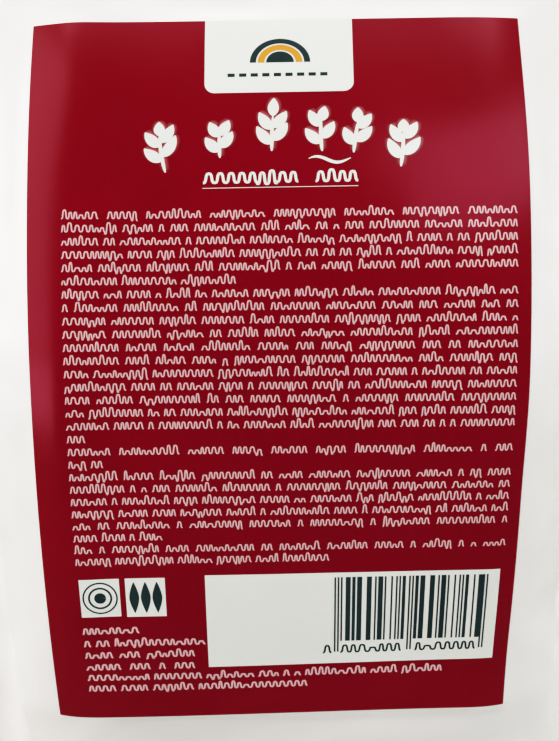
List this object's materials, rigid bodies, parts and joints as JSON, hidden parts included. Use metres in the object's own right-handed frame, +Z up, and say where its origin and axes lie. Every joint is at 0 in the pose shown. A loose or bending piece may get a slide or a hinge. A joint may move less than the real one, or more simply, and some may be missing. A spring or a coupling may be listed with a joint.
{
  "type": "labelled stand-up pouch",
  "caption": "White stand-up zip pouch, filled and sealed, with a gusseted base, side seals and tear notches, and a burgundy label on its front.",
  "frame": {"origin": "middle of the base, on the surface that the pouch stands on", "axes": "+Z up, -Y out of the labelled front, +X to the right for someone who faces the label"},
  "size_m": [0.2, 0.0637, 0.2958],
  "materials": {
    "white_film": "white laminated pouch film, matte with a soft sheen",
    "burgundy_label": "burgundy printed label under a clear gloss laminate",
    "white_print": "white print on the label, under the same gloss laminate",
    "dark_print": "near-black print on the label's white fields",
    "amber_print": "amber print in the small pictogram"
  },
  "bodies": {
    "root": {"pouch": "white_film", "label": "burgundy_label"}
  },
  "joints": []
}
